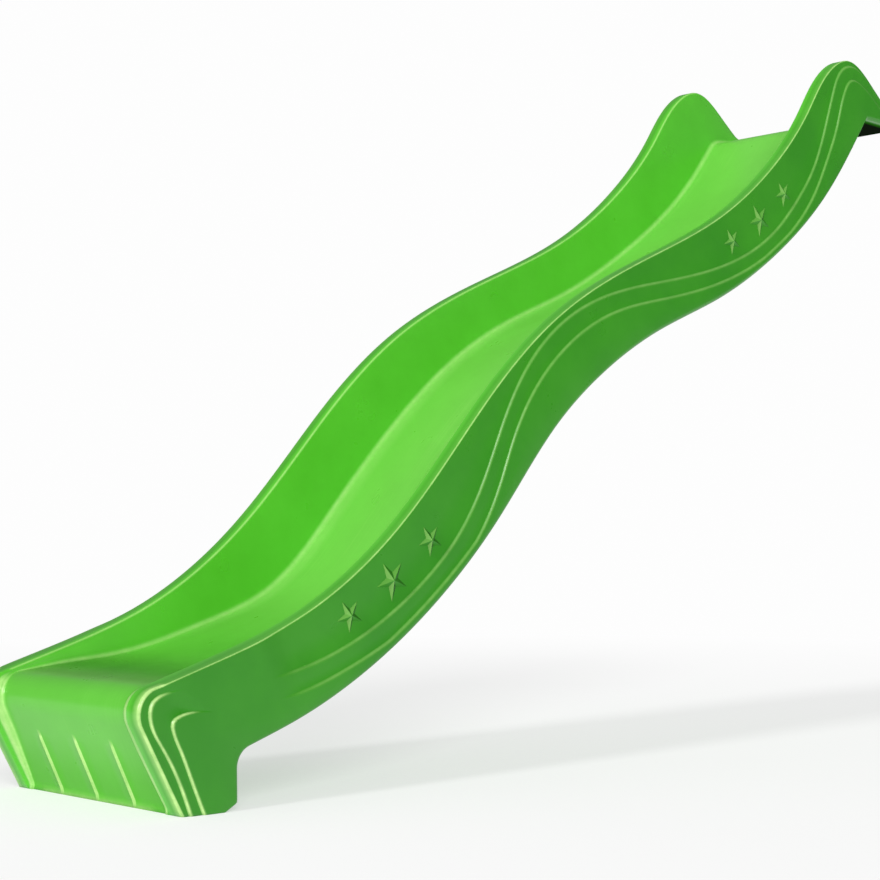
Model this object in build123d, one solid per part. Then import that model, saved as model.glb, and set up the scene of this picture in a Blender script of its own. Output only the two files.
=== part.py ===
from build123d import *
import math
import os

# A wave slide for a play tower: one hollow blow-moulded slide, the screws that hold its top lip
# to the deck, and the plugs that close its moulding vents. Millimetres, +Z up, +X from the toe
# up to the deck. It is drawn from the toe (x = 0 and z = 0 at the front of the sole) and then
# moved so that the origin is where the middle deck screw leaves the underside of the lip.

# ---- overall sizes ----
overall_width = 500.0
run = 2026.0              # from the front of the sole to the deck's front edge
deck_height = 1454.0      # from the ground to the underside of the lip

# ---- moulding ----
skin = 3.2                # thickness of the moulded wall
rail_width = 40.0         # top of each side rail
trough_corner = 12.0      # rounding between the sliding surface and the rails
rail_rounding = 9.0       # rounding of the rails' long top edges
lip_length = 150.0        # part of the top that lies on the deck
lip_thickness = 24.0
lip_rear_drop = 14.0      # how far below the lip's top the rails end at its rear edge
lip_fall = 16.0           # how much lower the lip's top is at the chute than at the rear
crest_radius = 56.0       # where the chute turns over onto the lip

# ---- toe ----
toe_lean = 29.0           # degrees that the front leans forward
nose_share = 0.029        # radius of the front's upper end, as a share of the deck height
sole_flat = 88.0          # length of the sole that rests on the ground
heel_back = 111.0         # from the front of the sole to the back of the heel
heel_bevel = 11.0         # height of the slope between them
knee_radius = 40.0        # where the back of the heel turns into the underside
toe_recess = 8.0          # how far the front between the rails is set back

# ---- raised detail on the mouldings ----
relief = 2.4              # how far ribs and stars stand out of a side
rib_width = 6.0
star_size = {"small": 31.0, "large": 39.0}
star_waist = 0.37         # inner radius over outer radius
toe_rib_width = 10.0
toe_rib_height = 112.0
toe_rib_gap = 107.0
toe_rib_foot = 4.0        # height of the ribs' lower ends
toe_rib_run_out = 8.0     # length of the slope at the ribs' upper ends

# ---- deck fixing ----
screw_radius = 3.0
screw_length = 50.0       # under the head
screw_neck_radius = 2.7   # plain part of the shank, inside the lip
screw_tip = 0.8           # bevel at the end of the thread
screw_head_radius = 6.0
screw_head_height = 4.6
hex_socket_width = 4.0
washer_radius = 9.0
washer_thickness = 1.6
washer_bore_gap = 0.2
hole_gap = 0.5            # clearance of the lip's holes round a screw
screw_pitch = 150.0
screw_setback = 85.0      # from the deck's front edge to the row of screws
pocket_floor = 6.0        # moulding left under a washer
pocket_gap = 2.5          # room between a cap and its pocket
cap_wall = 1.6
cap_clearance = 0.6       # between the cap's lid and the screw head
cup_wall = 1.5
cup_height = 5.0
press_gap = 0.05          # left between pieces that are pressed together

# ---- vent plugs ----
plug_radius = 6.0
plug_flange_radius = 9.0
plug_flange = 2.0
plug_depth = 9.0
plug_height = 38.0        # over the ground, on the back of the heel
plug_half_gap = 120.0

# ---- the wave, as shares of the run and of the deck height ----
rail_wave = [(0.015, 0.162), (0.128, 0.219), (0.237, 0.323), (0.355, 0.495), (0.444, 0.602),
             (0.568, 0.695), (0.711, 0.787), (0.814, 0.889), (0.879, 0.985), (0.928, 1.067),
             (0.967, 1.090), (1.017, 1.058), (1.052, 1.025)]
chute_wave = [(-0.012, 0.1445), (0.012, 0.149), (0.094, 0.159), (0.183, 0.190), (0.262, 0.232),
              (0.346, 0.341), (0.444, 0.483), (0.513, 0.563), (0.602, 0.635), (0.701, 0.694),
              (0.809, 0.778), (0.913, 0.885), (0.943, 0.926), (0.982, 0.990)]
under_wave = [(0.077, 0.075), (0.118, 0.0945), (0.178, 0.132), (0.286, 0.231), (0.360, 0.327),
              (0.444, 0.457), (0.513, 0.533), (0.602, 0.602), (0.706, 0.662), (0.809, 0.741),
              (0.913, 0.856), (1.000, 1.000)]
upper_rib = [(0.094, 0.148), (0.147, 0.164), (0.199, 0.194), (0.257, 0.244), (0.309, 0.310),
             (0.342, 0.380), (0.366, 0.450), (0.397, 0.524), (0.454, 0.599), (0.510, 0.638),
             (0.623, 0.679), (0.716, 0.714), (0.782, 0.755), (0.816, 0.787), (0.852, 0.834),
             (0.888, 0.896), (0.910, 0.958), (0.930, 1.029), (0.943, 1.062), (0.958, 1.077)]
lower_rib = [(0.076, 0.117), (0.111, 0.124), (0.175, 0.152), (0.235, 0.191), (0.299, 0.256),
             (0.339, 0.318), (0.363, 0.378), (0.378, 0.427), (0.400, 0.483), (0.449, 0.557),
             (0.523, 0.617), (0.620, 0.653), (0.716, 0.691), (0.814, 0.759), (0.888, 0.856),
             (0.914, 0.916), (0.935, 0.975), (0.950, 1.030), (0.966, 1.056)]
stars = [("small", 0.176, 0.213), ("large", 0.226, 0.254), ("small", 0.273, 0.303),
         ("small", 0.731, 0.753), ("large", 0.782, 0.794), ("small", 0.828, 0.843)]

# ---- sizes that follow from these ----
half_width = overall_width / 2 - relief
chute_half_width = half_width - rail_width
lean = math.radians(toe_lean)
lip_end = run + lip_length
lip_top = deck_height + lip_thickness
lip_pitch = lip_fall / lip_length
nose_radius = nose_share * deck_height
screw_x = run + screw_setback
hole_radius = screw_radius + hole_gap
pocket_bottom = deck_height + pocket_floor
head_bottom = pocket_bottom + washer_thickness
head_top = head_bottom + screw_head_height
cup_inner_radius = washer_radius + pocket_gap / 2
cup_radius = cup_inner_radius + cup_wall
cap_radius = cup_radius + press_gap + cap_wall
pocket_radius = cap_radius + pocket_gap
beyond = 60.0             # how far cutting shapes reach past the moulding
cap_top = max(head_top, pocket_bottom + cup_height) + cap_clearance + cap_wall
across = (-1, 0, 1)
places = {-1: "left", 0: "centre", 1: "right"}


def at(shares):
    """A point of a wave, from its shares of the run and of the deck height."""
    return (shares[0] * run, shares[1] * deck_height)


def wave(shares, lift=0.0):
    """A smooth line through the points of a wave, moved sideways by lift (up is positive)."""
    line = Spline(*[at(point) for point in shares])
    if lift == 0:
        return line
    steps = 2 * len(shares)
    moved = []
    for step in range(steps + 1):
        along = line % (step / steps)
        moved.append(line @ (step / steps) + Vector(-along.Y, along.X) * lift)
    return Spline(*moved)


def across_slide(face, half):
    """The face, drawn in x and z, made into a solid from y = -half to y = half."""
    upright = Plane.XZ * face
    return extrude(upright, amount=half, both=True)


def rounded(face, corners):
    """The face with each named corner rounded to its radius."""
    for point, radius in corners:
        vertex = face.vertices().sort_by_distance(Vector(*point))[0]
        face = fillet(vertex, radius)
    return face


def rounded_rails(shape, radius):
    """The shape with the four long edges on top of its rails rounded."""
    long_edges = shape.edges().filter_by(lambda edge: edge.length > run)
    return fillet(long_edges.sort_by(Axis.Z)[-4:], radius)


def front_line(setback, height):
    """The point at a height on the leaning front, set back from it."""
    return (setback / math.cos(lean) - height * math.tan(lean), height)


def front_corner(setback, line):
    """Where the leaning front, set back, meets a wave's straight run-out."""
    start, slope = line @ 0, (line % 0).Y / (line % 0).X
    foot = front_line(setback, 0)
    height = (start.Y + slope * (foot[0] - start.X)) / (1 + slope * math.tan(lean))
    return front_line(setback, height)


def outline(inset=0.0):
    """The side outline of the moulding, set in by inset all round."""
    rail = wave(rail_wave, -inset)
    under = wave(under_wave, inset)
    rail_start, hump_end = rail @ 0, rail @ 1
    nose = front_corner(inset, rail)
    foot = front_line(inset, inset)
    lip_rear = lip_end - inset
    rear_height = lip_top - lip_rear_drop - inset
    heel = heel_back - inset
    bevel = math.atan2(heel_bevel, heel_back - sole_flat)
    sole_end = (sole_flat - inset * math.tan(bevel / 2), inset)
    heel_low = (heel, heel_bevel + inset * math.tan((math.pi / 2 - bevel) / 2))
    under_start, under_end = under @ 0, under @ 1
    under_slope = under % 0
    knee = (heel, under_start.Y + under_slope.Y / under_slope.X * (heel - under_start.X))
    lip_under = deck_height + inset
    rise = under % 1
    corner = (under_end.X + rise.X / rise.Y * (lip_under - under_end.Y), lip_under)
    edges = [Line(foot, nose), Line(nose, rail_start), rail,
             Line(hump_end, (lip_rear, rear_height)),
             Line((lip_rear, rear_height), (lip_rear, lip_under)),
             Line((lip_rear, lip_under), corner)]
    if math.dist(corner, (under_end.X, under_end.Y)) > 0.01:
        edges.append(Line(corner, under_end))
    edges += [under, Line(under_start, knee), Line(knee, heel_low), Line(heel_low, sole_end),
              Line(sole_end, foot)]
    return rounded(make_face(edges), [(nose, nose_radius - inset), (knee, knee_radius + inset)])


def trough(outset=0.0):
    """The space above the sliding surface, grown by outset into the moulding."""
    chute = wave(chute_wave, -outset)
    start, end, rise = chute @ 0, chute @ 1, chute % 1
    setback = toe_recess + outset
    nose = front_corner(setback, chute)
    level = lip_top - outset
    reach = (level - lip_pitch * (lip_end - end.X) - end.Y) / (rise.Y - lip_pitch * rise.X)
    crest = end + rise * reach
    far = lip_end + beyond
    far_level = level + lip_pitch * beyond
    high = 1.5 * deck_height
    front = -deck_height / 2
    face = make_face([
        Line(front_line(setback, -beyond), nose), Line(nose, start), chute, Line(end, crest),
        Line(crest, (far, far_level)), Line((far, far_level), (far, high)),
        Line((far, high), (front, high)), Line((front, high), (front, -beyond)),
        Line((front, -beyond), front_line(setback, -beyond)),
    ])
    face = rounded(face, [(nose, nose_radius - outset), ((crest.X, crest.Y), crest_radius - outset)])
    space = across_slide(face, chute_half_width + outset)
    side_edges = space.edges().filter_by(lambda edge: edge.bounding_box().size.Y < 0.01)
    floor_edges = side_edges.filter_by(
        lambda edge: edge.center().Z < far_level + 1 and edge.center().X > front / 2)
    return fillet(floor_edges, trough_corner + outset)


def disc(radius, bottom, top, y):
    """A round column about one deck screw."""
    return Pos(screw_x, y, (bottom + top) / 2) * Cylinder(radius, top - bottom)


def highest_rim(shape):
    """The top circle of a round column."""
    return shape.edges().filter_by(GeomType.CIRCLE).sort_by(Axis.Z)[-1]


def lowest_rim(shape):
    """The bottom circle of a round column."""
    return shape.edges().filter_by(GeomType.CIRCLE).sort_by(Axis.Z)[0]


def rib(shares):
    """A raised line that follows a wave along both sides."""
    upper, lower = wave(shares, rib_width / 2), wave(shares, -rib_width / 2)
    face = make_face([upper, Line(upper @ 1, lower @ 1), lower, Line(lower @ 0, upper @ 0)])
    return across_slide(face, overall_width / 2)


def star(size, x_share, z_share):
    """A five-pointed star with one tip down, standing out of both sides."""
    outer = star_size[size]
    centre = at((x_share, z_share))
    points = []
    for corner in range(10):
        radius = outer if corner % 2 == 0 else outer * star_waist
        angle = math.radians(-90 + 36 * corner)
        points.append((centre[0] + radius * math.cos(angle), centre[1] + radius * math.sin(angle)))
    return across_slide(make_face(Polyline(*points, close=True)), overall_width / 2)


def toe_rib(y):
    """One of the upright ribs on the recessed front."""
    setback = toe_recess - relief
    seat = toe_recess + skin / 2
    top = toe_rib_height + toe_rib_run_out
    face = make_face(Polyline(
        front_line(setback, toe_rib_foot), front_line(setback, toe_rib_height),
        front_line(seat, top), front_line(seat, toe_rib_foot), close=True))
    return Pos(0, y, 0) * across_slide(face, toe_rib_width / 2)


def slide_body():
    """The hollow moulding: both skins, the rails, the toe, the lip and its screw pockets."""
    shell = rounded_rails(across_slide(outline(), half_width) - trough(), rail_rounding)
    hollow = across_slide(outline(skin), half_width - skin) - trough(skin)
    hollow = rounded_rails(hollow, rail_rounding - skin)
    for side in across:
        hollow -= disc(pocket_radius + skin, deck_height, lip_top, side * screw_pitch)
    body = shell - hollow
    relief_seat = across_slide(outline(), half_width - skin / 2)
    for shares in (upper_rib, lower_rib):
        body += rib(shares) - relief_seat
    for size, x_share, z_share in stars:
        body += star(size, x_share, z_share) - relief_seat
    for side in across:
        body += toe_rib(side * toe_rib_gap)
        body -= disc(pocket_radius, pocket_bottom, lip_top + 1, side * screw_pitch)
        body -= disc(hole_radius, deck_height - 1, lip_top, side * screw_pitch)
    for side in (-1, 1):
        body -= plug_column(plug_radius, plug_depth, plug_flange, side * plug_half_gap)
    return body


def plug_column(radius, depth, proud, y):
    """A round column into the back of the heel, from proud of it to a depth."""
    length = depth + proud
    middle = heel_back + proud - length / 2
    return Pos(middle, y, plug_height) * Rot(0, 90, 0) * Cylinder(radius, length)


def vent_plug(y):
    """A push-in plug whose flange sits on the back of the heel."""
    stem = plug_column(plug_radius - press_gap, plug_depth, 0, y)
    flange = plug_column(plug_flange_radius, 0, plug_flange, y)
    return stem + flange - plug_column(plug_radius - cap_wall, plug_depth, 0, y)


def deck_screw(y):
    """A button-head screw with a hexagon socket, through the lip and down into the deck."""
    thread = disc(screw_radius, head_bottom - screw_length, deck_height, y)
    thread = chamfer(lowest_rim(thread), screw_tip)
    neck = disc(screw_neck_radius, deck_height, head_bottom, y)
    head = disc(screw_head_radius, head_bottom, head_top, y)
    head = fillet(highest_rim(head), screw_head_height / 2)
    socket = Pos(screw_x, y, head_top) * extrude(
        RegularPolygon(hex_socket_width / 2, 6, major_radius=False), amount=-screw_head_height / 2)
    return thread + neck + head - socket


def washer(y):
    """A flat washer on the floor of the pocket."""
    ring = disc(washer_radius, pocket_bottom, head_bottom, y)
    return ring - disc(screw_radius + washer_bore_gap, pocket_bottom - 1, head_bottom + 1, y)


def cap_cup(y):
    """The ring round the washer that the cap presses onto."""
    top = pocket_bottom + cup_height
    ring = disc(cup_radius, pocket_bottom, top, y)
    return ring - disc(cup_inner_radius, pocket_bottom - 1, top + 1, y)


def screw_cap(y):
    """The lid that hides the screw head, pressed over the ring."""
    cap = disc(cap_radius, pocket_bottom, cap_top, y)
    cap = fillet(highest_rim(cap), cap_wall)
    return cap - disc(cup_radius + press_gap, pocket_bottom - 1, cap_top - cap_wall, y)


def write(name, shape):
    """Moves a finished piece into the deck screw's frame and writes it."""
    piece = Pos(-screw_x, 0, -deck_height) * shape
    piece.label = name
    export_step(piece, f"parts/{name}.step")


os.makedirs("parts", exist_ok=True)
write("slide_body", slide_body())
for side in across:
    write(f"deck_screw_{places[side]}", deck_screw(side * screw_pitch))
    write(f"deck_washer_{places[side]}", washer(side * screw_pitch))
    write(f"cap_cup_{places[side]}", cap_cup(side * screw_pitch))
    write(f"screw_cap_{places[side]}", screw_cap(side * screw_pitch))
for side in (-1, 1):
    write(f"vent_plug_{places[side]}", vent_plug(side * plug_half_gap))
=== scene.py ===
import math
import bmesh
import bpy
import numpy as np
from mathutils import Matrix, Vector


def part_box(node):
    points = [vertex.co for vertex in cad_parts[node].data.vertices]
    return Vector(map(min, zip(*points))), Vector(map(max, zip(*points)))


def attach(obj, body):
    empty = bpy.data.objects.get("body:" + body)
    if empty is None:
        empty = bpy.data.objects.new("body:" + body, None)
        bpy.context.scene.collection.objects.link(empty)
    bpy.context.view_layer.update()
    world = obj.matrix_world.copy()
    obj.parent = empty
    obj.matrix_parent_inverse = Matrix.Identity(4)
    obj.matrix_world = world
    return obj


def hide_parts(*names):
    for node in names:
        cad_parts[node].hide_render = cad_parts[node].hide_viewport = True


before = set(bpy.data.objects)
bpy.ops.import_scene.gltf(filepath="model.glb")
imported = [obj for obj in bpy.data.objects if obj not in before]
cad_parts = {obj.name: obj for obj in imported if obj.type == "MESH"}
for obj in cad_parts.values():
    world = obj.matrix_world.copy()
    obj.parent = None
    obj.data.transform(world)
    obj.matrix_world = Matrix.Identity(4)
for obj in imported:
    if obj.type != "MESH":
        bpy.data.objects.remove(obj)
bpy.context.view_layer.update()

low, high = (Vector(corner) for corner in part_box("slide_body"))

# ---- sizes, in metres, drawn from the front of the sole (x = 0) and the ground (z = 0) ----
DECK_HEIGHT = -low.z
RUN = 2.026                   # sole front to the deck's front edge
LIP_LENGTH = 0.150
LIP_THICKNESS = 0.024
LIP_TOP = DECK_HEIGHT + LIP_THICKNESS
LIP_FALL = 0.016              # how much lower the lip's top is at the chute than at the rear
LIP_REAR_DROP = 0.014         # how far below the lip's top the rails end at its rear
LIP_REAR_ROUND = 0.008
DECK_EDGE_ROUND = 0.008       # where the underside turns onto the deck
TOE_X = high.x - RUN - LIP_LENGTH
HALF_WIDTH = high.y
STEP = 0.0036                 # how far each band of the side stands out past the one above it
RAIL_INNER = 0.2095           # inner wall at the rail's top
RAIL_INNER_TOE = 0.2075       # the same on the leaning front
CHUTE_HALF = 0.197            # inner wall at the sliding surface
CHUTE_HALF_TOE = 0.187
CHUTE_CORNER = 0.012
INNER_ROUND = 0.0045          # of the rails' long top edges
OUTER_ROUND = 0.0030
FRONT_ROUND = 0.0060          # of the outer edges of the leaning front
UNDER_ROUND = 0.010
CREST_RADIUS = 0.056          # where the chute turns over onto the lip

# ---- toe ----
TOE_LEAN = math.radians(29.0)
TOE_RECESS = 0.008            # of the front between the rails, at the sole
NOSE_RECESS = 0.017           # the same at the top of the front
NOSE_HEIGHT = 0.150
NOSE_RADIUS = 0.042
SOLE_FLAT = 0.088
HEEL_LOW = (0.111, 0.012)
HEEL_BACK = (0.110, 0.050)    # a point of the heel's back, and the way it runs on upward
HEEL_RUN = (-0.02, 1.0)
HEEL_ROUND = 0.005
KNEE_RADIUS = 0.036
RIB_GAP = 0.107               # between the upright ribs on the front
RIB_HALF = 0.0050
RIB_PROUD = 0.0040
RIB_FOOT = (0.003, 0.008)     # heights between which a rib starts and ends
RIB_HEAD = (0.098, 0.112)
LEDGE_PROUD = 0.0055          # the ledge along the foot of the front
LEDGE_TOP = (0.002, 0.009)

# ---- small parts ----
CHANNEL_Y = 0.110             # the shallow channels under the chute
CHANNEL_HALF = 0.040
CHANNEL_DEPTH = 0.010
CHANNEL_RAMP = 0.012
STAR_WAIST = 0.37             # inner radius over outer radius
STAR_PROUD = 0.0068
POCKET_GAP = 0.0025           # between a cap and its pocket
POCKET_ROUND = 0.0022
SCREW_HOLE = 0.0035
SCREW_NECK = 0.0027           # radius inside the lip
THREAD_RADIUS = 0.0030
THREAD_ROOT = 0.0025
THREAD_PITCH = 0.0010
THREAD_RUN_OUT = 0.003
HEAD_HEIGHT = 0.0046
SOCKET_HALF = 0.0020          # half the hexagon's width across flats
SOCKET_DEPTH = 0.0024
PLACES = ("left", "centre", "right")

# ---- colours, linear ----
INSIDE_DARK = (0.084, 0.480, 0.022)
INSIDE_LIGHT = (0.100, 0.530, 0.030)
# darker colours of the outer faces, also used on the rail tops, the stars and the run-out floor: painted
# shade, standing in for the lesser light there
PAINTED_SHADE_OUTSIDE_DARK = (0.024, 0.240, 0.004)
PAINTED_SHADE_OUTSIDE_LIGHT = (0.034, 0.280, 0.006)
# pale colour: real scuffs along the sliding surface, and also painted sheen, painted highlights along
# edges and lines, and painted light on star facets turned toward the toe
SCUFF_AND_HIGHLIGHT = (0.60, 0.86, 0.32)
SHADE = (0.006, 0.010, 0.005)
BACKGROUND = (0.985, 0.985, 0.985)

# ---- the wave, as shares of the run and of the deck height ----
RAIL_WAVE = [(0.015, 0.162), (0.128, 0.219), (0.237, 0.323), (0.355, 0.495), (0.444, 0.602),
             (0.568, 0.695), (0.711, 0.787), (0.814, 0.889), (0.879, 0.985), (0.928, 1.067),
             (0.967, 1.090), (1.017, 1.058), (1.052, 1.025)]
CHUTE_WAVE = [(-0.012, 0.1445), (0.012, 0.149), (0.094, 0.159), (0.183, 0.190), (0.262, 0.232),
              (0.346, 0.341), (0.444, 0.483), (0.513, 0.563), (0.602, 0.635), (0.701, 0.694),
              (0.809, 0.778), (0.913, 0.885), (0.943, 0.926), (0.982, 0.990)]
UNDER_WAVE = [(0.077, 0.075), (0.118, 0.0945), (0.178, 0.132), (0.286, 0.231), (0.360, 0.327),
              (0.444, 0.457), (0.513, 0.533), (0.602, 0.602), (0.706, 0.662), (0.809, 0.741),
              (0.913, 0.856), (1.000, 1.000)]
UPPER_RIB = [(0.094, 0.148), (0.147, 0.164), (0.199, 0.194), (0.257, 0.244), (0.309, 0.310),
             (0.342, 0.380), (0.366, 0.450), (0.397, 0.524), (0.454, 0.599), (0.510, 0.638),
             (0.623, 0.679), (0.716, 0.714), (0.782, 0.755), (0.816, 0.787), (0.852, 0.834),
             (0.888, 0.896), (0.910, 0.958), (0.930, 1.029), (0.943, 1.062), (0.958, 1.077),
             (0.975, 1.080), (1.017, 1.050), (1.052, 1.019)]
LOWER_RIB = [(0.076, 0.117), (0.111, 0.124), (0.175, 0.152), (0.235, 0.191), (0.299, 0.256),
             (0.339, 0.318), (0.363, 0.378), (0.378, 0.427), (0.400, 0.483), (0.449, 0.557),
             (0.523, 0.617), (0.620, 0.653), (0.716, 0.691), (0.814, 0.759), (0.888, 0.856),
             (0.914, 0.916), (0.935, 0.975), (0.950, 1.030), (0.966, 1.056), (0.990, 1.052),
             (1.022, 1.028), (1.050, 1.008)]
STARS = [(0.031, 0.176, 0.213), (0.039, 0.226, 0.254), (0.031, 0.273, 0.303),
         (0.031, 0.731, 0.753), (0.039, 0.782, 0.794), (0.031, 0.828, 0.843)]

# the ribs' lower ends, which turn down the sides of the front
UPPER_RIB_TOE = [(0.016, 0.0), (-0.013, 0.066), (-0.044, 0.117), (-0.0635, 0.152),
                 (-0.062, 0.184), (-0.034, 0.199), (0.060, 0.201), (0.126, 0.204)]
LOWER_RIB_TOE = [(0.040, 0.0), (0.012, 0.062), (-0.009, 0.108), (-0.0225, 0.137),
                 (-0.024, 0.152), (-0.008, 0.162), (0.060, 0.164)]

# where the section lines run: a point of the rail's edge, and the point below it on the underside
SECTION_LINES = [
    ((0.000, 0.000), (0.088, 0.000)), ((-0.024, 0.043), (0.111, 0.013)),
    ((-0.060, 0.108), (0.110, 0.060)), ((-0.080, 0.145), (0.114, 0.080)),
    ((-0.068, 0.198), (0.124, 0.093)), ((-0.035, 0.211), (0.139, 0.102)),
    ((0.031, 0.235), (0.160, 0.116)), ((0.119, 0.262), (0.205, 0.132)),
    ((0.192, 0.288), (0.262, 0.153)), ((0.332, 0.360), (0.398, 0.215)),
    ((0.473, 0.465), (0.565, 0.324)), ((0.604, 0.594), (0.715, 0.459)),
    ((0.769, 0.767), (0.868, 0.635)), ((0.935, 0.899), (1.010, 0.752)),
    ((1.116, 0.996), (1.165, 0.849)), ((1.286, 1.071), (1.337, 0.924)),
    ((1.446, 1.147), (1.504, 0.998)), ((1.581, 1.234), (1.662, 1.091)),
    ((1.720, 1.364), (1.828, 1.223)), ((1.832, 1.495), (1.953, 1.362)),
    ((1.879, 1.551), (1.997, 1.421)), ((1.930, 1.580), (2.021, 1.449)),
    ((1.960, 1.585), (2.034, 1.454)), ((2.016, 1.567), (2.062, 1.454)),
    ((2.058, 1.540), (2.088, 1.454)), ((2.132, 1.490), (2.140, 1.454)),
    ((2.176, 1.464), (2.176, 1.454)),
]

# ---- places along the slide where something changes, counted in section lines ----
TROUGH_WIDENS = (5.0, 8.0)
EDGE_TIGHTENS = (4.4, 5.4)
BANDS_END = (4.2, 5.2)            # on the front's corner; they start again past the toe
BANDS_START = (7.3, 8.4)
LINES_END = (4.0, 4.9)
LINES_START = (7.3, 8.6)
FRONT_END = 4.5
FRONT_RIM_END = 4.8
RUN_OUT = 5.0
RECESS_FADES = (3.6, 4.8)
WORN_AND_SHEEN_LESS = (5.0, 6.2)          # where feet land and hardly slide: less worn paleness and less painted sheen
WORN_AND_SHEEN_AGAIN = (8.0, 10.0)
# where the run-out floor is given painted shade
LANDING_START = (4.75, 5.3)
LANDING_END = (6.0, 8.2)
STEEP_START = (8.0, 10.0)
STEEP_END = (14.0, 16.0)
CHANNEL_START = (9.2, 10.0)
CHANNEL_END = (17.6, 18.4)
LIP_START = 21.8


# ---------------------------------------------------------------- lines in the side view
def at(shares):
    """A point of a wave, from its shares of the run and of the deck height."""
    return np.array([shares[0] * RUN, shares[1] * DECK_HEIGHT])


def smooth(points, spacing=0.001):
    """A natural cubic spline through the points, as close-set points."""
    points = np.array(points, float)
    count = len(points)
    steps = np.hypot(*np.diff(points, axis=0).T)
    knots = np.concatenate([[0], np.cumsum(steps)])
    matrix = np.zeros((count, count))
    right = np.zeros((count, 2))
    matrix[0, 0] = matrix[-1, -1] = 1
    for i in range(1, count - 1):
        matrix[i, i - 1:i + 2] = steps[i - 1], 2 * (steps[i - 1] + steps[i]), steps[i]
        right[i] = 6 * ((points[i + 1] - points[i]) / steps[i]
                        - (points[i] - points[i - 1]) / steps[i - 1])
    bend = np.linalg.solve(matrix, right)
    where = np.linspace(0, knots[-1], int(knots[-1] / spacing) + 1)
    span = np.clip(np.searchsorted(knots, where, side="right") - 1, 0, count - 2)
    h = steps[span][:, None]
    a = (knots[span + 1] - where)[:, None]
    b = (where - knots[span])[:, None]
    return (bend[span] * a ** 3 + bend[span + 1] * b ** 3) / (6 * h) \
        + (points[span] / h - bend[span] * h / 6) * a \
        + (points[span + 1] / h - bend[span + 1] * h / 6) * b


def bent(points, radii, spacing=0.001):
    """Straight runs through the points, with an arc of the given radius at each inner point."""
    points = [np.array(p, float) for p in points]
    line = [points[0]]
    for before, corner, after, radius in zip(points, points[1:], points[2:], radii):
        come = (corner - before) / np.linalg.norm(corner - before)
        go = (after - corner) / np.linalg.norm(after - corner)
        turn = math.acos(np.clip(come @ go, -1, 1))
        reach = radius * math.tan(turn / 2)
        side = np.sign(come[0] * go[1] - come[1] * go[0])
        start = corner - come * reach
        centre = start + side * radius * np.array([-come[1], come[0]])
        for step in range(13):
            angle = side * turn * step / 12
            arm = start - centre
            line.append(centre + np.array([arm[0] * math.cos(angle) - arm[1] * math.sin(angle),
                                           arm[0] * math.sin(angle) + arm[1] * math.cos(angle)]))
    line.append(points[-1])
    return even(np.array(line), spacing)


def even(line, spacing):
    """The same line with evenly spaced points."""
    length = np.concatenate([[0], np.cumsum(np.hypot(*np.diff(line, axis=0).T))])
    where = np.linspace(0, length[-1], max(2, int(length[-1] / spacing) + 1))
    return np.column_stack([np.interp(where, length, line[:, i]) for i in (0, 1)])


def front(setback, height):
    """A point of the leaning front, set back from it."""
    return np.array([setback / math.cos(TOE_LEAN) - height * math.tan(TOE_LEAN), height])


def crossing(a, along_a, b, along_b):
    """Where the line through a meets the line through b."""
    s = np.linalg.solve(np.column_stack([along_a, -np.array(along_b)]), np.array(b) - a)
    return a + s[0] * np.array(along_a)


def start_slope(line):
    """The direction in which the line sets out."""
    return (line[3] - line[0]) / np.linalg.norm(line[3] - line[0])


def side_lines():
    """The rail's top, both ribs, the sliding surface and the underside, from sole to lip."""
    uphill = front(0, 1) - front(0, 0)
    rear = RUN + LIP_LENGTH
    rear_end = (rear, LIP_TOP - LIP_REAR_DROP)

    rail = smooth([at(p) for p in RAIL_WAVE])
    nose = crossing(front(0, 0), uphill, rail[0], start_slope(rail))
    rail = np.vstack([bent([front(0, 0), nose, rail[0]], [NOSE_RADIUS]), rail[1:],
                      bent([rail[-1], rear_end], [])[1:]])

    chute = smooth([at(p) for p in CHUTE_WAVE])
    foot, shoulder = front(TOE_RECESS, 0), front(NOSE_RECESS, NOSE_HEIGHT)
    nose = crossing(foot, shoulder - foot, chute[0], start_slope(chute))
    crest = crossing(chute[-1], chute[-1] - chute[-4], (rear, LIP_TOP), (LIP_LENGTH, LIP_FALL))
    chute = np.vstack([bent([foot, nose, chute[0]], [NOSE_RADIUS]), chute[1:-30],
                       bent([chute[-30], crest, (rear, LIP_TOP), rear_end],
                            [CREST_RADIUS, LIP_REAR_ROUND])[1:]])

    under = smooth([at(p) for p in UNDER_WAVE])
    knee = crossing(HEEL_BACK, HEEL_RUN, under[0], start_slope(under))
    under = np.vstack([bent([(SOLE_FLAT, 0), HEEL_LOW, knee, under[0]], [HEEL_ROUND, KNEE_RADIUS]),
                       under[1:-8], bent([under[-8], (RUN, DECK_HEIGHT), (rear, DECK_HEIGHT)],
                                         [DECK_EDGE_ROUND])[1:]])

    upper = smooth(UPPER_RIB_TOE + [at(p) for p in UPPER_RIB[1:]] + [(rear, LIP_TOP - 0.020)])
    lower = smooth(LOWER_RIB_TOE + [at(p) for p in LOWER_RIB] + [(rear, LIP_TOP - 0.022)])
    return rail, upper, lower, chute, under


def nearest(line, point):
    return int(np.argmin(((line - np.array(point)) ** 2).sum(1)))


def meet(line, foot, along, guess):
    """How far up the section line another line crosses it, nearest to the guess."""
    offset = line - foot
    across = offset[:, 0] * along[1] - offset[:, 1] * along[0]
    height = offset @ along
    hits = np.nonzero(across[:-1] * across[1:] <= 0)[0]
    found = []
    for i in hits:
        share = across[i] / (across[i] - across[i + 1]) if across[i] != across[i + 1] else 0
        found.append(height[i] + share * (height[i + 1] - height[i]))
    if not found:
        return guess
    return min(found, key=lambda h: abs(h - guess))


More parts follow.
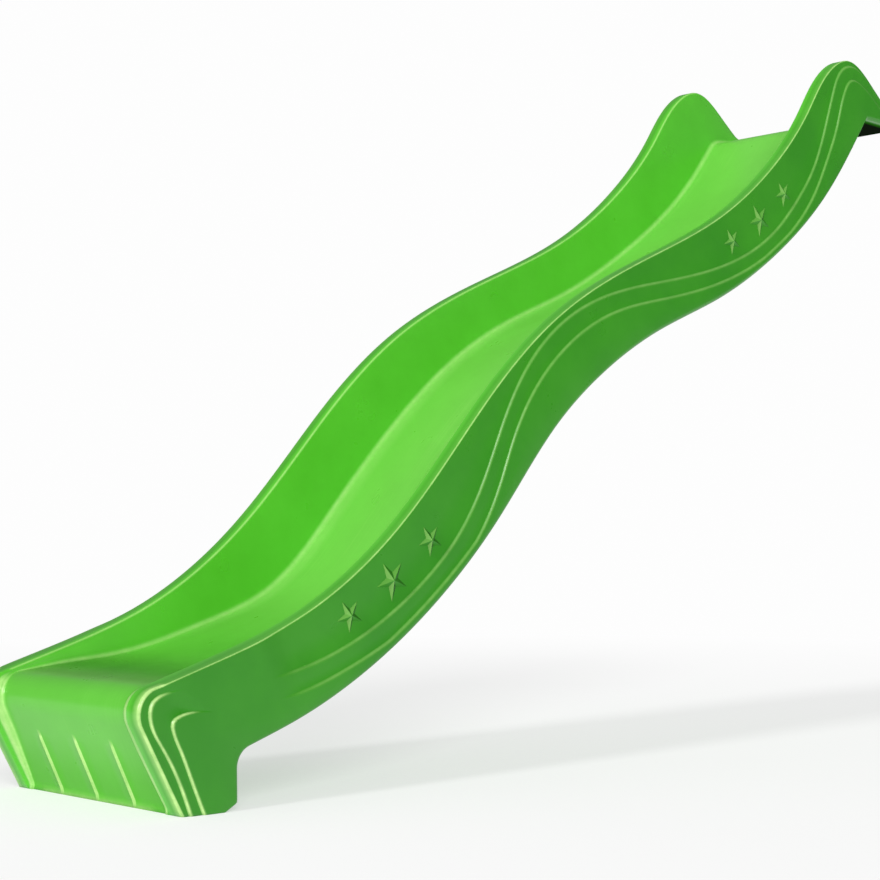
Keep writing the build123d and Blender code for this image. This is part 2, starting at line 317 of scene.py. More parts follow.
def sections(spacing):
    """The cross-sections from the sole to the lip's rear.

    Each is its place along the slide, its foot and direction, and how far up it the rail's top,
    the upper rib, the lower rib and the sliding surface lie.
    """
    rail, upper, lower, chute, under = side_lines()
    tops = [nearest(rail, a) for a, _ in SECTION_LINES]
    feet = [nearest(under, b) for _, b in SECTION_LINES]
    tops[0] = feet[0] = 0
    tops[-1], feet[-1] = len(rail) - 1, len(under) - 1
    result = []
    guess = [0.058, 0.034, 0.051]
    for k in range(len(tops) - 1):
        longer = max(tops[k + 1] - tops[k], feet[k + 1] - feet[k]) * 0.001
        count = max(1, round(longer / spacing))
        for step in range(count + (k == len(tops) - 2)):
            share = step / count
            top = rail[min(len(rail) - 1, round(tops[k] + share * (tops[k + 1] - tops[k])))]
            foot = under[min(len(under) - 1, round(feet[k] + share * (feet[k + 1] - feet[k])))]
            height = np.linalg.norm(top - foot)
            along = (top - foot) / height
            guess = [meet(line, foot, along, g)
                     for line, g in zip((upper, lower, chute), guess)]
            result.append((k + share, foot, along, height, *guess))
    return result


# ---------------------------------------------------------------- the moulding's cross-section
def ease(low_end, high_end, value):
    """Rises smoothly from 0 at low_end to 1 at high_end."""
    share = min(1.0, max(0.0, (value - low_end) / (high_end - low_end)))
    return share * share * (3 - 2 * share)


def quarter(y, h, reach_y, reach_h, from_side, count=4):
    """Points round a quarter of an ellipse; from_side starts it at the y end."""
    points = []
    for step in range(count + 1):
        angle = math.pi / 2 * step / count
        a, b = (math.cos(angle), math.sin(angle)) if from_side else (math.sin(angle), math.cos(angle))
        points.append((y + reach_y * a, h + reach_h * b))
    return points


def step_out(y_in, y_out, h):
    """A band's edge, from the higher, inner face out to the lower one."""
    gap = y_out - y_in
    return [(y_in, h + 0.0036), (y_in + 0.08 * gap, h + 0.0024), (y_in + 0.50 * gap, h + 0.0009),
            (y_in + 0.88 * gap, h - 0.0007), (y_in + 0.98 * gap, h - 0.0024), (y_out, h - 0.0050)]


def half_section(place, height, upper, lower, chute, chute_z):
    """The outline (y, h) of one half, from the middle of the chute round to the middle below."""
    toe = 1 - ease(*TROUGH_WIDENS, place)
    end = min(1.0, height / 0.060)    # everything shrinks where the lip grows thin
    faded = max(1 - ease(*BANDS_END, place), ease(*BANDS_START, place))
    shrink = STEP * faded * end
    y2 = HALF_WIDTH
    y1, y0 = y2 - shrink, y2 - 2 * shrink
    outer = (OUTER_ROUND + (FRONT_ROUND - OUTER_ROUND) * (1 - ease(*EDGE_TIGHTENS, place))) * end
    inner, bottom = INNER_ROUND * end, UNDER_ROUND * end
    upper = min(upper, height - outer - 0.0060 * end)
    lower = max(min(lower, upper - 0.0130 * end), bottom + 0.0075 * end)
    upper = max(upper, lower + 0.0130 * end)
    chute = min(chute, height - 0.0010)
    depth = height - chute
    inner_top = RAIL_INNER + (RAIL_INNER_TOE - RAIL_INNER) * toe
    inner_low = CHUTE_HALF + (CHUTE_HALF_TOE - CHUTE_HALF) * toe
    inner_low = inner_top - (inner_top - inner_low) * min(1.0, depth / 0.020)
    corner = min(CHUTE_CORNER, 0.45 * depth)
    inner = min(inner, 0.45 * depth)

    points = []
    rib_ends = ease(*RIB_FOOT, chute_z) * (1 - ease(*RIB_HEAD, chute_z))
    ledge = LEDGE_PROUD * (1 - ease(*LEDGE_TOP, chute_z))
    for y in CHUTE_LINES:
        off = min(abs(y), abs(y - RIB_GAP)) / RIB_HALF
        bump = RIB_PROUD * math.cos(off * math.pi / 2) ** 1.5 if off < 1 else 0.0
        points.append((y, chute + bump * rib_ends + ledge))
    flat_end = inner_low - corner
    points.append((0.5 * (CHUTE_LINES[-1] + flat_end), chute + ledge))
    points += [(flat_end + corner * math.sin(a), chute + ledge + corner * (1 - math.cos(a)))
               for a in (math.pi / 2 * i / 6 for i in range(7))]
    wall_low, wall_high = chute + ledge + corner, height - inner
    wall_high = max(wall_high, wall_low + 0.0002)
    for share in (0.25, 0.5, 0.75):
        points.append((inner_low + (inner_top - inner_low) * share,
                       wall_low + (wall_high - wall_low) * share))
    points += quarter(inner_top + inner, wall_high, -inner, height - wall_high, True)
    points.append((0.5 * (inner_top + inner + y0 - outer), height))
    points += quarter(y0 - outer, height - outer, outer, outer, False)
    points += [(y0, height - outer - (height - outer - upper - 0.0042) * share)
               for share in (0.03, 0.50)]
    points += step_out(y0, y1, upper)
    points.append((y1, 0.5 * (upper + lower)))
    points += step_out(y1, y2, lower)
    points.append((y2, bottom + 0.5 * (lower - 0.0058 - bottom)))
    points += [(y2 - bottom * (1 - math.cos(a)), bottom * (1 - math.sin(a)))
               for a in (math.pi / 2 * i / 5 for i in range(6))]
    channel = CHANNEL_DEPTH * ease(*CHANNEL_START, place) * (1 - ease(*CHANNEL_END, place))
    # a bridge across the channels at every second section line
    channel *= 1 - 0.85 * max(0.0, 1 - abs(place % 2.0 - 1.0) / 0.16)
    for y in UNDER_LINES:
        off = abs(y - CHANNEL_Y)
        points.append((y, channel * (1 - ease(CHANNEL_HALF - CHANNEL_RAMP, CHANNEL_HALF, off))))
    return points


def spread(*stops):
    """Every stop, with points between them no more than 30 mm apart."""
    lines = [stops[0]]
    for a, b in zip(stops, stops[1:]):
        count = max(1, math.ceil((b - a) / 0.030))
        lines += [a + (b - a) * (i + 1) / count for i in range(count)]
    return lines


RIB_LINES = [RIB_HALF * share for share in (0.0, 0.3, 0.55, 0.8, 1.0)]
CHUTE_LINES = spread(*RIB_LINES, *[RIB_GAP - y for y in reversed(RIB_LINES[1:])],
                     *[RIB_GAP + y for y in RIB_LINES], 0.150)
UNDER_LINES = [0.215, 0.180] + [CHANNEL_Y + side * (CHANNEL_HALF - 0.004 * k)
                                for side, ks in ((1, (0, 1, 2, 3)), (-1, (3, 2, 1, 0)))
                                for k in ks] + [0.035, 0.0]
FLOOR_POINTS = len(CHUTE_LINES) + 1
CORNER_POINTS, WALL_POINTS, ROUND_POINTS, SIDE_POINTS = 7, 3, 5, 22


def half_masks(place, chute_z):
    """How far each point of half_section is worn and painted with sheen, painted with an edge highlight,
    given the outer faces' painted shade, and painted dark with shade.
    """
    on_front = 1 - ease(*BANDS_END, place)
    landing = 0.66 * ease(*LANDING_START, place) * (1 - ease(*LANDING_END, place))
    steep = ease(*STEEP_START, place) * (1 - ease(*STEEP_END, place))
    # worn paleness along the chute, which also stands in as painted sheen; less of it on the run-out,
    # and a fixed share on the toe front
    worn_and_sheen = 1 - 0.85 * ease(*WORN_AND_SHEEN_LESS, place) * (1 - ease(*WORN_AND_SHEEN_AGAIN, place))
    if place < RUN_OUT:
        worn_and_sheen = 0.45

    # painted highlights along the front's upright ribs and the ledge at its foot
    ribs = [0.0] * len(CHUTE_LINES)
    if place < FRONT_END:
        rib_mask = ease(*RIB_FOOT, chute_z) * (1 - ease(RIB_HEAD[1] - 0.006, RIB_HEAD[1], chute_z))
        ledge_mask = 0.55 * (1 - ease(*RIB_FOOT, chute_z))
        for i, y in enumerate(CHUTE_LINES):
            on_rib = min(abs(y), abs(y - RIB_GAP)) / RIB_HALF < 0.9
            ribs[i] = max(rib_mask if on_rib else 0.0, ledge_mask)
    # painted highlights along the chute's corner with the wall, on the steep floor, and along the recess
    # walls of the toe front
    corner = [0.16 * steep, 0.1 + 0.1 * steep, 0.3, 0.4, 0.3, 0.1, 0.0]
    wall = [0.0] * WALL_POINTS
    if place < RUN_OUT:
        recess = 0.75 * (1 - ease(*RECESS_FADES, place))
        corner[3:] = [recess] * (CORNER_POINTS - 3)
        wall[:2] = [recess] * 2
    # painted highlights along the rails' inner and outer top edges, stronger round the toe front
    inner, outer = [0.0, 0.3, 0.6, 0.3, 0.0], [0.1, 0.4, 0.8, 0.4, 0.0]
    if place < FRONT_RIM_END:
        inner, outer = [0.0] * ROUND_POINTS, [0.5, 1.0, 1.0, 0.9, 0.0]
    # painted highlights along the edges of the side bands
    line = 0.24 + 0.76 * on_front
    line *= max(1 - ease(*LINES_END, place), ease(*LINES_START, place))
    band = [0.0, 0.5 * line, line, line, 0.4 * line, 0.0, 0.0]

    worn_floor = FLOOR_POINTS + 2
    # painted shade: the run-out floor and the toe front take some of the outer faces' shaded colour, and
    # the run-out and the foot of the toe front are darkened and made duller
    tint = landing + 0.20 * on_front
    painted_shade_floor = 0.16 * landing + 0.12 * on_front * (1 - ease(0.02, 0.12, chute_z))
    masks = {
        "worn_and_sheen": [worn_and_sheen] * worn_floor + [0.6 * worn_and_sheen, 0.3 * worn_and_sheen],
        "edge": ribs + [0.10 * steep] + corner + wall + inner + [0.0] + outer + [0.0] * 2 + 2 * band,
        "outside": [tint] * worn_floor + [0.7 * landing, 0.4 * landing]
        + [0.0] * (CORNER_POINTS - 4 + WALL_POINTS + ROUND_POINTS)
        + [0.55, 0.6, 0.6, 0.7, 0.9] + [1.0] * (1 + SIDE_POINTS + len(UNDER_LINES)),
        "under": [painted_shade_floor] * worn_floor,
    }
    count = len(masks["outside"])
    for values in masks.values():
        values += [0.0] * (count - len(values))
    # painted shade: the lip's underside is made nearly black and dull, as if in deep shadow
    if place > LIP_START:
        masks["under"][-len(UNDER_LINES):] = [1.0] * len(UNDER_LINES)
    return masks


def slide_mesh():
    """The whole outside of the moulding as one closed mesh, with masks for its colours."""
    rings = []
    masks = {name: [] for name in ("worn_and_sheen", "edge", "outside", "under")}
    for place, foot, along, height, upper, lower, chute in sections(0.0085):
        chute_z = foot[1] + along[1] * chute
        half = half_section(place, height, upper, lower, chute, chute_z)
        ring = [(foot[0] + along[0] * h, y, foot[1] + along[1] * h) for y, h in half]
        mirrored = [(x, -y, z) for x, y, z in reversed(ring[1:-1])]
        rings.append(ring + mirrored)
        for name, values in half_masks(place, chute_z).items():
            masks[name] += values + values[-2:0:-1]
    verts = np.array(rings).reshape(-1, 3) + np.array([TOE_X, 0.0, low.z])
    size = len(rings[0])
    faces = []
    for i in range(len(rings) - 1):
        a, b = i * size, (i + 1) * size
        faces += [(a + j, a + (j + 1) % size, b + (j + 1) % size, b + j) for j in range(size)]
    faces.append(tuple(range(size)))
    faces.append(tuple(range(len(verts) - size, len(verts))))
    mesh = bpy.data.meshes.new("slide_shell")
    mesh.from_pydata(verts.tolist(), [], faces)
    for name, values in masks.items():
        layer = mesh.attributes.new(name, "FLOAT", "POINT")
        layer.data.foreach_set("value", values)
    bm = bmesh.new()
    bm.from_mesh(mesh)
    bmesh.ops.recalc_face_normals(bm, faces=bm.faces)
    bm.to_mesh(mesh)
    bm.free()
    mesh.shade_smooth()
    return mesh


# ---------------------------------------------------------------- making pieces
def add(name, mesh, material):
    """A piece that rides on the slide's one body."""
    piece = bpy.data.objects.new(name, mesh)
    bpy.context.scene.collection.objects.link(piece)
    if material.name not in mesh.materials:
        mesh.materials.clear()
        mesh.materials.append(material)
    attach(piece, "root")
    return piece


def lathe(profile, centre, segments=64):
    """A closed solid of revolution about a vertical axis, from (radius, height) points."""
    bm = bmesh.new()
    rings = []
    for radius, height in profile:
        rings.append([bm.verts.new((radius * math.cos(t), radius * math.sin(t), height))
                      for t in (2 * math.pi * i / segments for i in range(segments))])
    for a, b in zip(rings, rings[1:]):
        for i in range(segments):
            bm.faces.new((a[i], a[(i + 1) % segments], b[(i + 1) % segments], b[i]))
    bm.faces.new(rings[0])
    bm.faces.new(rings[-1])
    bmesh.ops.translate(bm, verts=bm.verts, vec=centre)
    bmesh.ops.recalc_face_normals(bm, faces=bm.faces)
    mesh = bpy.data.meshes.new("turned")
    bm.to_mesh(mesh)
    bm.free()
    mesh.shade_smooth()
    return mesh


def star_mesh(radius, centre, side):
    """A raised five-pointed star, one tip down, with a ridge along each arm."""
    x, z = centre
    panel = HALF_WIDTH - 2 * STEP
    bm = bmesh.new()
    outline, base = [], []
    for k in range(10):
        reach = radius if k % 2 == 0 else radius * STAR_WAIST
        angle = math.radians(-90 + 36 * k)
        px, pz = x + reach * math.cos(angle), z + reach * math.sin(angle)
        outline.append(bm.verts.new((px, side * (panel + 0.0002), pz)))
        base.append(bm.verts.new((px, side * (panel - 0.0030), pz)))
    peak = bm.verts.new((x, side * (panel + STAR_PROUD), z))
    for k in range(10):
        n = (k + 1) % 10
        bm.faces.new((peak, outline[k], outline[n]))
        bm.faces.new((outline[k], base[k], base[n], outline[n]))
    bm.faces.new(base)
    ridges = [e for e in bm.edges if peak in e.verts]
    bmesh.ops.bevel(bm, geom=ridges, offset=0.0006, segments=2, profile=0.5, affect="EDGES")
    bmesh.ops.recalc_face_normals(bm, faces=bm.faces)
    mesh = bpy.data.meshes.new("star")
    bm.to_mesh(mesh)
    bm.free()
    count = len(mesh.vertices)
    # painted shade: the star takes the outer faces' shaded colour, and a slight painted shade along its
    # outline
    lines = [1.0 if side * v.co.y < panel + 0.001 else 0.0 for v in mesh.vertices]
    for name, values in (("outside", [1.0] * count), ("under", [0.10 * x for x in lines])):
        mesh.attributes.new(name, "FLOAT", "POINT").data.foreach_set("value", values)
    # painted light and shade, fixed in the colour: faces turned toward the toe are positive and painted
    # lighter, those turned toward the deck negative and painted darker
    facing = [-face.normal.x if abs(face.normal.x) < 0.7 else 0.0 for face in mesh.polygons]
    mesh.attributes.new("painted_facet_shading", "FLOAT", "FACE").data.foreach_set("value", facing)
    return mesh


def joined(objects):
    """Joins the objects into the first one."""
    with bpy.context.temp_override(active_object=objects[0], selected_editable_objects=objects):
        bpy.ops.object.join()
    return objects[0]


def loose(name, mesh):
    """An object that is still to be joined or cut with."""
    piece = bpy.data.objects.new(name, mesh)
    bpy.context.scene.collection.objects.link(piece)
    return piece


def cut(piece, cutters):
    """Takes the cutters away from the piece, and removes them."""
    for cutter in cutters:
        modifier = piece.modifiers.new("cut", "BOOLEAN")
        modifier.object = cutter
        modifier.operation = "DIFFERENCE"
        modifier.solver = "EXACT"
    bpy.context.view_layer.update()
    graph = bpy.context.evaluated_depsgraph_get()
    result = bpy.data.meshes.new_from_object(piece.evaluated_get(graph))
    piece.modifiers.clear()
    piece.data = result
    for cutter in cutters:
        bpy.data.objects.remove(cutter)


# ---------------------------------------------------------------- materials
class Nodes:
    """Short names for making a material's nodes."""

    def __init__(self, name):
        self.material = bpy.data.materials.new(name)
        self.material.use_nodes = True
        self.tree = self.material.node_tree
        self.shader = self.tree.nodes["Principled BSDF"]
        self.place = self.new("ShaderNodeTexCoord").outputs["Object"]

    def new(self, kind, **values):
        node = self.tree.nodes.new(kind)
        for key, value in values.items():
            if key in node.inputs:
                node.inputs[key].default_value = value
            else:
                setattr(node, key, value)
        return node

    def link(self, source, target):
        self.tree.links.new(source, target)

    def noise(self, scale, detail=3.0, roughness=0.5, stretch=(1, 1, 1), shift=(0, 0, 0)):
        mapping = self.new("ShaderNodeMapping")
        mapping.inputs["Scale"].default_value = stretch
        mapping.inputs["Location"].default_value = shift
        self.link(self.place, mapping.inputs["Vector"])
        noise = self.new("ShaderNodeTexNoise", Scale=scale, Detail=detail, Roughness=roughness)
        self.link(mapping.outputs["Vector"], noise.inputs["Vector"])
        return noise.outputs["Fac"]

    def ramp(self, source, low_in, high_in, low_out=0.0, high_out=1.0):
        node = self.new("ShaderNodeMapRange")
        for key, value in zip(("From Min", "From Max", "To Min", "To Max"),
                              (low_in, high_in, low_out, high_out)):
            node.inputs[key].default_value = value
        self.link(source, node.inputs["Value"])
        return node.outputs["Result"]

    def maths(self, operation, a, b):
        node = self.new("ShaderNodeMath", operation=operation)
        for socket, value in zip(node.inputs, (a, b)):
            if isinstance(value, (int, float)):
                socket.default_value = value
            else:
                self.link(value, socket)
        return node.outputs[0]

    def blend(self, share, first, second):
        """A colour between two others; 6, 7 and 2 are the node's colour sockets."""
        node = self.new("ShaderNodeMix", data_type="RGBA")
        self.link(share, node.inputs["Factor"])
        for index, colour in ((6, first), (7, second)):
            if isinstance(colour, tuple):
                node.inputs[index].default_value = (*colour, 1.0)
            else:
                self.link(colour, node.inputs[index])
        return node.outputs[2]

    def bump(self, height, strength, distance, below=None):
        node = self.new("ShaderNodeBump", Strength=strength, Distance=distance)
        self.link(height, node.inputs["Height"])
        if below is not None:
            self.link(below, node.inputs["Normal"])
        return node.outputs["Normal"]


def slide_plastic():
    """Semi-gloss blow-moulded polyethylene: slightly mottled, worn along the sliding surface with
    painted sheen there, painted highlights on edges, and painted shade on the outer faces, star facets
    and underside.
    """
    n = Nodes("slide_plastic")
    worn_and_sheen = n.new("ShaderNodeAttribute", attribute_name="worn_and_sheen").outputs["Fac"]
    edge = n.new("ShaderNodeAttribute", attribute_name="edge").outputs["Fac"]
    outside = n.new("ShaderNodeAttribute", attribute_name="outside").outputs["Fac"]
    under = n.new("ShaderNodeAttribute", attribute_name="under").outputs["Fac"]
    mottle = n.ramp(n.noise(5.0, 4.0, 0.6), 0.35, 0.65)
    colour = n.blend(mottle, INSIDE_DARK, INSIDE_LIGHT)
    # the outer faces' darker colour: painted shade
    colour = n.blend(outside, colour, n.blend(mottle, PAINTED_SHADE_OUTSIDE_DARK, PAINTED_SHADE_OUTSIDE_LIGHT))
    # worn paleness, which also serves as painted sheen
    colour = n.blend(n.maths("MULTIPLY", worn_and_sheen, 0.11), colour, SCUFF_AND_HIGHLIGHT)
    streaks = n.ramp(n.noise(2.2, 5.0, 0.7, (1.0, 90.0, 1.0)), 0.52, 0.78)    # along the slide
    patches = n.ramp(n.noise(3.1, 2.0, 0.5, (1, 1, 1), (4.0, 1.0, 2.0)), 0.42, 0.66)
    worn = n.maths("MULTIPLY", n.maths("MULTIPLY", streaks, patches), worn_and_sheen)
    colour = n.blend(n.maths("MULTIPLY", worn, 0.20), colour, SCUFF_AND_HIGHLIGHT)
    nicks = n.ramp(n.noise(38.0, 4.0, 0.7), 0.40, 0.70)
    # painted highlights along the edges, varied by the nicks noise
    painted_edge_highlight = n.maths("MULTIPLY", n.ramp(nicks, 0.0, 1.0, 0.55, 0.85), edge)
    colour = n.blend(painted_edge_highlight, colour, SCUFF_AND_HIGHLIGHT)
    # painted light and shade on the star facets
    painted_facet_shading = n.new("ShaderNodeAttribute", attribute_name="painted_facet_shading").outputs["Fac"]
    colour = n.blend(n.ramp(painted_facet_shading, 0.05, 0.45, 0.0, 0.22), colour, SCUFF_AND_HIGHLIGHT)
    colour = n.blend(n.ramp(painted_facet_shading, -0.45, -0.05, 0.62, 0.0), colour, SHADE)
    # painted shade: nearly black under the lip, darker on the run-out and round the star outlines; where
    # it is painted dark, the reflection is taken away too
    colour = n.blend(under, colour, SHADE)
    shine = n.maths("POWER", n.maths("SUBTRACT", 1.0, under), 12.0)
    n.link(n.maths("MULTIPLY", shine, 0.45), n.shader.inputs["Specular IOR Level"])
    n.link(colour, n.shader.inputs["Base Color"])
    rough = n.ramp(n.noise(14.0, 3.0, 0.6), 0.3, 0.7, 0.27, 0.34)
    rough = n.maths("ADD", rough, n.maths("MULTIPLY", worn, 0.16))
    n.link(rough, n.shader.inputs["Roughness"])
    waves = n.bump(n.noise(9.0, 2.0, 0.4), 0.10, 0.004)
    peel = n.bump(n.noise(420.0, 2.0, 0.5), 0.08, 0.0004, waves)
    scratches = n.bump(worn, 0.05, 0.0004, peel)
    n.link(scratches, n.shader.inputs["Normal"])
    n.shader.inputs["IOR"].default_value = 1.50
    return n.material


def cap_plastic():
    """Darker moulded nylon with a fine spark-eroded grain."""
    n = Nodes("cap_plastic")
    tint = n.ramp(n.noise(60.0, 3.0, 0.6), 0.35, 0.65)
    n.link(n.blend(tint, (0.030, 0.205, 0.012), (0.042, 0.250, 0.018)), n.shader.inputs["Base Color"])
    n.link(n.ramp(n.noise(300.0, 2.0, 0.5), 0.3, 0.7, 0.30, 0.44), n.shader.inputs["Roughness"])
    n.link(n.bump(n.noise(1500.0, 2.0, 0.6), 0.25, 0.0002), n.shader.inputs["Normal"])
    return n.material


def plug_plastic():
    """Black moulded polyethylene, dusty in places."""
    n = Nodes("plug_plastic")
    dust = n.ramp(n.noise(120.0, 4.0, 0.7), 0.45, 0.75)
    n.link(n.blend(dust, (0.012, 0.012, 0.012), (0.040, 0.039, 0.036)), n.shader.inputs["Base Color"])
    n.link(n.ramp(dust, 0.0, 1.0, 0.42, 0.66), n.shader.inputs["Roughness"])
    n.link(n.bump(n.noise(1200.0, 2.0, 0.6), 0.3, 0.0002), n.shader.inputs["Normal"])
    return n.material


def plated_steel(name, bright, dull, roughness):
    """Zinc-plated steel: slightly yellowed, with turning marks and darker spots."""
    n = Nodes(name)
    spots = n.ramp(n.noise(220.0, 4.0, 0.65), 0.40, 0.72)
    n.link(n.blend(spots, bright, dull), n.shader.inputs["Base Color"])
    n.shader.inputs["Metallic"].default_value = 1.0
    n.link(n.ramp(spots, 0.0, 1.0, roughness, roughness + 0.16), n.shader.inputs["Roughness"])
    n.link(n.bump(n.noise(900.0, 3.0, 0.6, (1.0, 1.0, 6.0)), 0.15, 0.0002), n.shader.inputs["Normal"])
    return n.material


def stage_material(colour, reach):
    """A pale floor that turns into the plain background away from the slide."""
    n = Nodes("stage_floor")
    cloudy = n.ramp(n.noise(1.2, 2.0, 0.5), 0.3, 0.7)
    n.link(n.blend(cloudy, colour, tuple(c * 0.985 for c in colour)), n.shader.inputs["Base Color"])
    n.shader.inputs["Roughness"].default_value = 0.9
    n.shader.inputs["Specular IOR Level"].default_value = 0.1
    n.shader.inputs["Emission Color"].default_value = (1.0, 1.0, 1.0, 1.0)
    n.shader.inputs["Emission Strength"].default_value = 0.50
    distance = n.new("ShaderNodeVectorMath", operation="LENGTH")
    n.link(n.place, distance.inputs[0])
    share = n.ramp(distance.outputs["Value"], *reach)
    plain = n.new("ShaderNodeEmission")
    plain.inputs["Color"].default_value = (*BACKGROUND, 1.0)
    mix = n.new("ShaderNodeMixShader")
    n.link(share, mix.inputs["Fac"])
    n.link(n.shader.outputs[0], mix.inputs[1])
    n.link(plain.outputs[0], mix.inputs[2])
    n.link(mix.outputs[0], n.tree.nodes["Material Output"].inputs["Surface"])
    return n.material


# ---------------------------------------------------------------- the pieces
def make_slide():
    """The moulding, with a stepped pocket and a hole for each screw and its raised stars."""
    plastic = slide_plastic()
    slide = add("slide_shell", slide_mesh(), plastic)
    lip_top = low.z + LIP_TOP
    cutters = []
    for place in PLACES:
        cap_low, cap_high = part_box(f"screw_cap_{place}")
        washer_low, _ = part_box(f"deck_washer_{place}")
        centre = (cap_low + cap_high) / 2
        pocket = (cap_high.x - cap_low.x) / 2 + POCKET_GAP
        cutters.append(loose("pocket", lathe(
            [(pocket - POCKET_ROUND, washer_low.z), (pocket, washer_low.z + POCKET_ROUND),
             (pocket, lip_top - 2 * POCKET_ROUND), (pocket + 0.3 * POCKET_ROUND, lip_top - POCKET_ROUND),
             (pocket + POCKET_ROUND, lip_top - 0.2 * POCKET_ROUND),
             (pocket + 1.5 * POCKET_ROUND, lip_top + POCKET_ROUND)], (centre.x, centre.y, 0.0))))
        cutters.append(loose("hole", lathe([(SCREW_HOLE, -0.01), (SCREW_HOLE, washer_low.z + 0.001)],
                                           (centre.x, centre.y, 0.0), segments=32)))
    cut(slide, cutters)
    stars = [loose("star", star_mesh(radius, (at(share)[0] + TOE_X, at(share)[1] + low.z), side))
             for radius, *share in STARS for side in (-1, 1)]
    for star in stars:
        star.data.materials.append(plastic)
    slide = joined([slide] + stars)
    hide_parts("slide_body")


def make_screw(place, material):
    """A button-head screw with a hexagon socket and a rolled thread."""
    node_low, node_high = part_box(f"deck_screw_{place}")
    centre_y = (node_low.y + node_high.y) / 2
    head = (node_high.x - node_low.x) / 2
    under_head = node_high.z - HEAD_HEIGHT
    turn = 24
    bm = bmesh.new()
    rings = []

    def ring(radii, heights):
        rings.append([bm.verts.new((r * math.cos(2 * math.pi * i / turn),
                                    centre_y + r * math.sin(2 * math.pi * i / turn), z))
                      for i, (r, z) in enumerate(zip(radii, heights))])

    def level(r, z):
        ring([r] * turn, [z] * turn)

    level(0.0018, node_low.z)    # the bevelled tip
    level(0.0022, node_low.z + 0.0003)
    z = node_low.z + 0.0008
    while z < -0.0008:
        run_out = min(1.0, -z / THREAD_RUN_OUT, (z - node_low.z) / THREAD_RUN_OUT)
        radii = []
        for i in range(turn):
            phase = ((z - node_low.z) / THREAD_PITCH - i / turn) % 1.0
            crest = run_out * (1 - abs(2 * phase - 1)) ** 0.8
            radii.append(THREAD_ROOT + (THREAD_RADIUS - THREAD_ROOT) * crest)
        ring(radii, [z] * turn)
        z += THREAD_PITCH / 5
    level(SCREW_NECK, 0.0)
    level(SCREW_NECK, under_head)
    level(head - 0.0003, under_head)
    level(head, under_head + 0.0003)
    for step in range(1, 7):
        angle = math.pi / 2 * step / 6
        level(head - 0.0032 * (1 - math.cos(angle)), under_head + 0.0008 + 0.0037 * math.sin(angle))
    hexagon = []
    for i in range(turn):
        angle = 2 * math.pi * i / turn
        hexagon.append(SOCKET_HALF / math.cos((angle + math.pi / 6) % (math.pi / 3) - math.pi / 6))
    ring([r * 1.08 for r in hexagon], [node_high.z - 0.00005] * turn)
    ring(hexagon, [node_high.z - 0.0003] * turn)
    ring(hexagon, [node_high.z - SOCKET_DEPTH] * turn)
    for a, b in zip(rings, rings[1:]):
        for i in range(turn):
            bm.faces.new((a[i], a[(i + 1) % turn], b[(i + 1) % turn], b[i]))
    bm.faces.new(rings[0])
    bm.faces.new(rings[-1])
    bmesh.ops.recalc_face_normals(bm, faces=bm.faces)
    mesh = bpy.data.meshes.new("screw")
    bm.to_mesh(mesh)
    bm.free()
    mesh.shade_smooth()
    mesh.set_sharp_from_angle(angle=math.radians(35))
    screw = add(f"screw_{place}", mesh, material)
    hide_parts(f"deck_screw_{place}")


def set_material(node, material):
    """Gives a CAD piece a detailed material in place of its plain one."""
    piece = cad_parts[node]
    for slot in piece.material_slots:
        slot.material = material


# ---------------------------------------------------------------- stage, light and camera
def make_stage():
    """A wide pale floor, just under the sole."""
    bpy.ops.mesh.primitive_circle_add(vertices=96, radius=60, fill_type="NGON")
    floor = bpy.context.object
    floor.name = "stage_floor"
    floor.location = (0.5 * (low.x + high.x), 0.0, low.z - 0.0005)
    floor.data.materials.append(stage_material((0.52, 0.52, 0.52), (1.6, 4.2)))


def make_sun(name, direction, spread_angle, strength):
    """A far soft lamp, shining in the given direction."""
    data = bpy.data.lights.new(name, "SUN")
    data.angle = math.radians(spread_angle)
    data.energy = strength
    lamp = bpy.data.objects.new(name, data)
    bpy.context.scene.collection.objects.link(lamp)
    lamp.rotation_euler = Vector(direction).to_track_quat("-Z", "Y").to_euler()


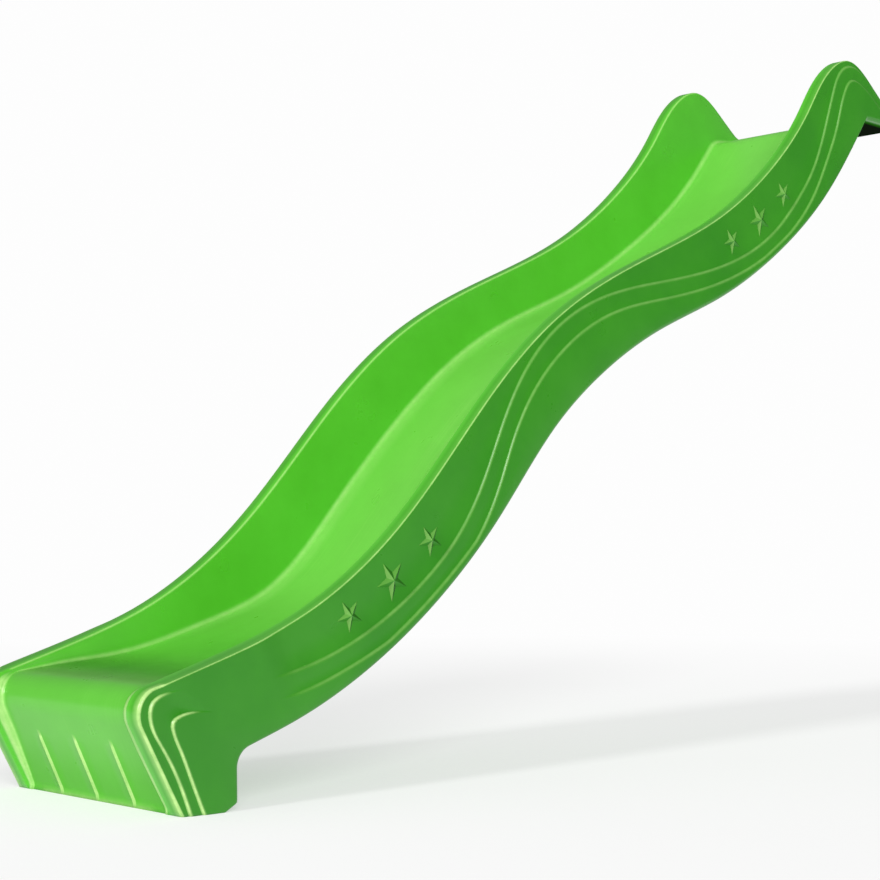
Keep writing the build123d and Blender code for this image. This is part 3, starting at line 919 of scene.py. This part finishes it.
def make_world(strength, mirrored):
    """Even white light, dimmer in reflections, behind a plain background."""
    world = bpy.data.worlds.new("studio")
    bpy.context.scene.world = world
    world.use_nodes = True
    tree = world.node_tree
    light = tree.nodes["Background"]
    light.inputs["Color"].default_value = (1.0, 1.0, 1.0, 1.0)
    path = tree.nodes.new("ShaderNodeLightPath")
    dimmed = tree.nodes.new("ShaderNodeMapRange")
    dimmed.inputs["To Min"].default_value = strength
    dimmed.inputs["To Max"].default_value = mirrored
    tree.links.new(path.outputs["Is Glossy Ray"], dimmed.inputs["Value"])
    tree.links.new(dimmed.outputs["Result"], light.inputs["Strength"])
    plain = tree.nodes.new("ShaderNodeBackground")
    plain.inputs["Color"].default_value = (*BACKGROUND, 1.0)
    mix = tree.nodes.new("ShaderNodeMixShader")
    tree.links.new(path.outputs["Is Camera Ray"], mix.inputs["Fac"])
    tree.links.new(light.outputs[0], mix.inputs[1])
    tree.links.new(plain.outputs[0], mix.inputs[2])
    tree.links.new(mix.outputs[0], tree.nodes["World Output"].inputs["Surface"])


def make_camera():
    """Beside and below the toe, looking up along the slide."""
    yaw, pitch, roll = (math.radians(a) for a in (-44.758, 2.855, 0.116))
    data = bpy.data.cameras.new("camera")
    data.sensor_width = 36.0
    data.lens = 74.295
    data.clip_end = 200.0
    camera = bpy.data.objects.new("camera", data)
    bpy.context.scene.collection.objects.link(camera)
    camera.location = (TOE_X - 1.7683, -2.6086, low.z + 0.4582)
    camera.rotation_euler = (Matrix.Rotation(yaw, 3, "Z") @ Matrix.Rotation(math.pi / 2 + pitch, 3, "X")
                             @ Matrix.Rotation(roll, 3, "Z")).to_euler()
    bpy.context.scene.camera = camera


make_slide()
zinc = plated_steel("zinc_steel", (0.66, 0.67, 0.68), (0.46, 0.46, 0.44), 0.24)
washer_steel = plated_steel("washer_steel", (0.70, 0.70, 0.68), (0.50, 0.50, 0.47), 0.30)
cap = cap_plastic()
plug = plug_plastic()
for place in PLACES:
    make_screw(place, zinc)
    set_material(f"deck_washer_{place}", washer_steel)
    set_material(f"cap_cup_{place}", cap)
    set_material(f"screw_cap_{place}", cap)
for side in ("left", "right"):
    set_material(f"vent_plug_{side}", plug)

make_stage()
make_world(0.42, 0.20)
make_sun("key", (0.88, 0.05, -0.44), 9.0, 1.40)
make_sun("fill", (0.50, 0.72, -0.45), 25.0, 1.75)
make_camera()
scene = bpy.context.scene
scene.view_settings.view_transform = "Standard"
scene.view_settings.look = "None"
scene.view_settings.exposure = 0.0
